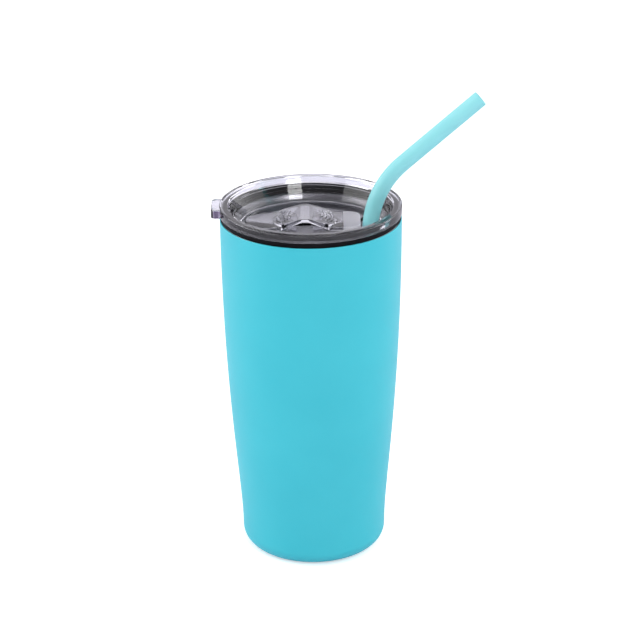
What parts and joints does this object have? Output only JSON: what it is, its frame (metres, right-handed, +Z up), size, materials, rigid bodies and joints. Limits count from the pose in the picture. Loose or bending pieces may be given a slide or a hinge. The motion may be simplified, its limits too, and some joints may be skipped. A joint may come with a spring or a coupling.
{
  "type": "insulated tumbler",
  "caption": "Double-walled vacuum-insulated steel tumbler with a clear sliding lid, a black lid seal and a bent silicone straw.",
  "frame": {"origin": "centre of the base, on the surface the cup stands on", "axes": "+Z up along the cup's axis, +X towards the drinking hole and the straw, -X towards the lid's thumb tab"},
  "size_m": [0.1305, 0.0874, 0.2308],
  "materials": {
    "powder_coat": "satin teal powder coat on stainless steel",
    "stainless_steel": "brushed and spun",
    "copper": "bright copper foil",
    "solder": "fused port seal",
    "getter_alloy": "pressed powder pellet",
    "black_silicone": "satin moulded silicone",
    "clear_plastic": "clear polished moulding",
    "teal_silicone": "soft matt silicone"
  },
  "bodies": {
    "tumbler": {"outer_shell": "powder_coat", "outer_base": "stainless_steel", "solder_bead": "solder", "base_cover": "stainless_steel", "inner_liner": "stainless_steel", "liner_floor": "stainless_steel", "copper_foil": "copper", "getter_holder": "stainless_steel", "getter": "getter_alloy"},
    "seal": {"lid_seal": "black_silicone"},
    "lid": {"lid_body": "clear_plastic"},
    "slider": {"slider": "clear_plastic"},
    "straw": {"straw": "teal_silicone"}
  },
  "joints": [
    {"name": "lid_lift", "type": "slide", "parent": "tumbler", "child": "seal", "axis": [0, 0, 1], "range_m": [0, 0.17]},
    {"name": "lid_turn", "type": "hinge", "parent": "seal", "child": "lid", "pos_m": [0, 0, 0.1735], "axis": [0, 0, 1], "continuous": true},
    {"name": "slider_slide", "type": "slide", "parent": "lid", "child": "slider", "axis": [1, 0, 0], "range_m": [-0.0018, 0.0008]},
    {"name": "straw_lift", "type": "slide", "parent": "lid", "child": "straw", "axis": [0, 0, 1], "range_m": [0, 0.165]}
  ]
}
